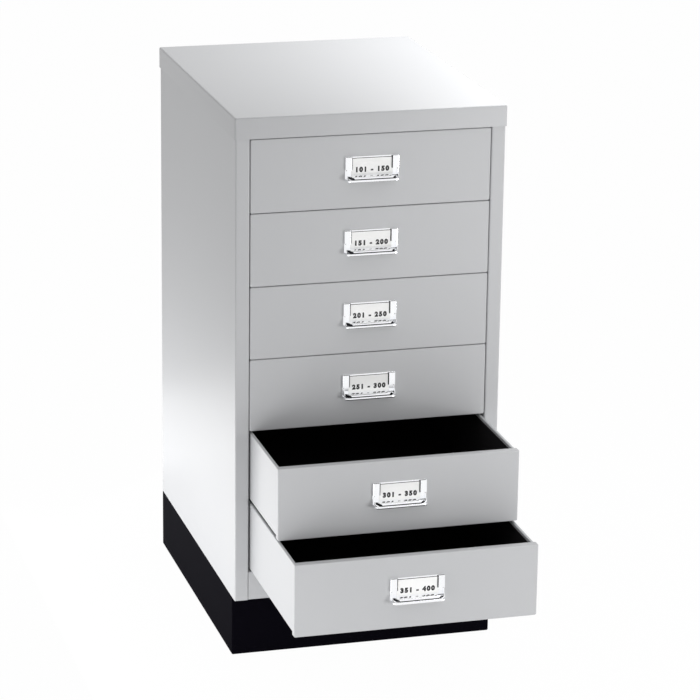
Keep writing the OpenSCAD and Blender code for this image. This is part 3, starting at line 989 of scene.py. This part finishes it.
class CabinetPull(bpy.types.PropertyGroup):
    """Sizes of a card-holder pull"""

    width: length("Width", "Width of the plate", 69)
    height: length("Height", "Height of the plate", 31)
    plate: length("Plate", "Thickness of the plate", 1)
    plate_corner: length("Plate Corner", "Radius of the plate's corners", 1.5)
    sheet: length("Sheet", "Thickness of the lip and the cheeks", 0.8)
    window: length("Window", "Width of the card window", 50)
    window_low: length("Window Foot", "Height of the window's lower edge over the plate's foot", 8)
    bar: length("Bar", "How far the side bars stand off the drawer front", 3)
    bar_bend: length("Bar Bend", "Outer radius of the side bars' folds", 0.9)
    bar_foot: length("Bar Foot", "Height of the side bars' lower ends over the plate's foot", 14.5)
    bar_drop: length("Bar Drop", "Distance from the top of the plate to the top of the bars", 0.6)
    bar_sheet: length("Bar Sheet", "Thickness of the side bars' steel", 0.4)
    ledge: length("Ledge", "Width of the ledge along a bar's inner edge", 1.2)
    ledge_drop: length("Ledge Drop", "Depth of the ledge below the bar's face", 1.1)
    slot: length("Card Slot", "Gap for the card between a bar's edge and the plate", 0.6)
    lip_reach: length("Lip Reach", "How far the finger lip's rim stands out from the plate", 12.5)
    lip_foot: length("Lip Foot", "Height of the lip's lower edge over the plate's foot", 4.5)
    groove: length("Groove", "Depth of the groove between the lip and its rim", 0.35)
    cut: length("Cut", "How far the lip's ends are cut back, at the rim", 8)
    cut_from: length("Cut Start", "Distance of the cut's start from the plate", 5.4)
    slit: length("Slit", "Width of the open slit between the lip and the webs", 1.5)
    web_top: length("Web Top", "Height of a web's back edge over the plate's foot", 6.2)
    cheek_top: length("Cheek Top", "Height of the cheeks at the plate, over the plate's foot", 14)
    # share of the cheeks, from the front, whose inner side is painted shade
    shaded_cheek: bpy.props.FloatProperty(
        name="Dull Cheek",
        description="Front share of the cheeks whose inner side the chrome doesn't reach",
        default=0.6,
        min=0,
        max=1,
        subtype="FACTOR",
    )
    rim_radius: length("Rim Radius", "Radius of the rolled rim", 1.8)
    rim_corner: length("Rim Corner", "Radius of the rim's middle line at its corners", 4.7)
    card_drop: length("Card Drop", "Distance from the top of the plate to the top of the card", 2.5)
    # height of the painted shadow strip over the card
    shade: length("Shade", "Height of the dull strip over the card", 0.7)
    # thickness of the painted shade sheets under the lip and over the card
    shade_sheet: length("Liner", "Thickness of the dull plating behind the lip and over the card", 0.15)
    stud_radius: length("Stud Radius", "Radius of the two studs", 2)
    stud_length: length("Stud Length", "Length of the studs behind the plate", 8)
    stud_out: length("Stud Place", "Distance of a stud from the middle", 30)
    stud_up: length("Stud Height", "Height of the studs over the plate's foot", 15)


class CabinetCard(bpy.types.PropertyGroup):
    """Sizes and numbers of the cards"""

    corner: length("Corner", "Radius of a card's corners", 0.6)
    digit: length("Digits", "Size of the printed digits", 8)
    spacing: bpy.props.FloatProperty(
        name="Spacing", description="Space between two digits, as a share of the usual", default=1.38, min=0
    )
    boldness: bpy.props.FloatProperty(
        name="Boldness",
        description="How far the digits are thickened, as a share of their size",
        default=0.08,
        min=0,
    )
    ink: length("Ink", "Half the thickness of the ink", 0.02)
    line: bpy.props.FloatProperty(
        name="Line",
        description="Height of the printed line, as a share of the card's height",
        default=0.29,
        min=0,
        max=1,
        subtype="FACTOR",
    )
    first: bpy.props.IntProperty(name="First", description="First number on card 1", default=101, min=1)
    step: bpy.props.IntProperty(name="Step", description="How many numbers a drawer holds", default=50, min=1)


class CabinetFinishes(bpy.types.PropertyGroup):
    """Colours of the finishes"""

    enamel: colour("Enamel", "Stoved enamel of the cabinet and the drawers", "#BFC0C2")
    plinth: colour("Plinth", "Enamel of the plinth", "#08070D")
    # near-black colour drawn on the trays' inner faces
    inside: colour("Inside", "Enamel inside the drawers", "#1A181A")
    chrome: colour("Chrome", "Chrome of the pulls", "#FAFBFD")
    # painted shade: colour of the dark metal in the pulls' hollows and gaps
    painted_shade: colour("Nickel", "Dull plating in the hollow of the pulls", "#2E2E32")
    zinc: colour("Zinc", "Zinc of the runners and fasteners", "#B6BABD")
    nylon: colour("Nylon", "Nylon of the glides", "#E9E6DC")
    card: colour("Card", "Board of the cards", "#FCFCFB")
    ink: colour("Ink", "Ink of the numbers", "#08080A")


class CabinetStudio(bpy.types.PropertyGroup):
    """The floor and the soft fill"""

    floor: colour("Floor", "Paint of the floor", "#FFFFFF")
    floor_reach: length("Floor Reach", "Half the width of the floor", 20000)
    floor_drop: length("Floor Drop", "Depth of the floor below the plinth's foot", 0.1)
    floor_white: bpy.props.FloatProperty(
        name="Floor White",
        description="Share of plain white in the floor that the camera and reflections see",
        default=0.98,
        min=0,
        max=1,
        subtype="FACTOR",
    )
    fill: colour("Fill", "Colour of the soft fill", "#FFFFFF")
    fill_strength: bpy.props.FloatProperty(
        name="Fill Strength", description="Strength of the soft fill", default=0.505, min=0
    )


class CabinetCamera(bpy.types.PropertyGroup):
    """Place and direction of the camera"""

    place: bpy.props.FloatVectorProperty(
        name="Place",
        description="Where the camera stands",
        default=(-1.0555, -3.8522, 1.5823),
        size=3,
        subtype="TRANSLATION",
        unit="LENGTH",
    )
    yaw: bpy.props.FloatProperty(
        name="Yaw",
        description="Turn to the right of straight ahead",
        default=radians(15.819),
        subtype="ANGLE",
    )
    pitch: bpy.props.FloatProperty(
        name="Pitch", description="Tip below the level", default=radians(17.3), subtype="ANGLE"
    )
    roll: bpy.props.FloatProperty(
        name="Roll", description="Turn about the line of sight", default=radians(0.769), subtype="ANGLE"
    )
    lens: bpy.props.FloatProperty(
        name="Lens",
        description="Focal length on a 36 mm sensor",
        default=162.2,
        min=1,
        subtype="DISTANCE_CAMERA",
    )


SETTINGS = {
    "cabinet_sizes": CabinetSizes,
    "cabinet_pull": CabinetPull,
    "cabinet_card": CabinetCard,
    "cabinet_finishes": CabinetFinishes,
    "cabinet_studio": CabinetStudio,
    "cabinet_camera": CabinetCamera,
}
OPERATORS = (
    CABINET_OT_stage,
    CABINET_OT_side_panels,
    CABINET_OT_rails,
    CABINET_OT_cap,
    CABINET_OT_plinth,
    CABINET_OT_trays,
    CABINET_OT_fronts,
    CABINET_OT_pulls,
    CABINET_OT_cards,
    CABINET_OT_fittings,
)


class CABINET_PT_panel(bpy.types.Panel):
    """Lists the cabinet's settings and its operators"""

    bl_idname = "CABINET_PT_panel"
    bl_label = "Drawer Cabinet"
    bl_space_type = "VIEW_3D"
    bl_region_type = "UI"
    bl_category = "Cabinet"

    def draw(self, context):
        for name, group in SETTINGS.items():
            box = self.layout.box()
            box.label(text=group.__doc__)
            for field in group.__annotations__:
                box.prop(getattr(context.scene, name), field)
        for operator in OPERATORS:
            self.layout.operator(operator.bl_idname)


CLASSES = (*SETTINGS.values(), *OPERATORS, CABINET_PT_panel)


def register():
    for cls in CLASSES:
        bpy.utils.register_class(cls)
    for name, group in SETTINGS.items():
        setattr(bpy.types.Scene, name, bpy.props.PointerProperty(type=group))


def unregister():
    for name in SETTINGS:
        delattr(bpy.types.Scene, name)
    for cls in reversed(CLASSES):
        bpy.utils.unregister_class(cls)


def main():
    register()
    for operator in OPERATORS:
        group, name = operator.bl_idname.split(".")
        getattr(getattr(bpy.ops, group), name)()


if __name__ == "__main__":
    main()
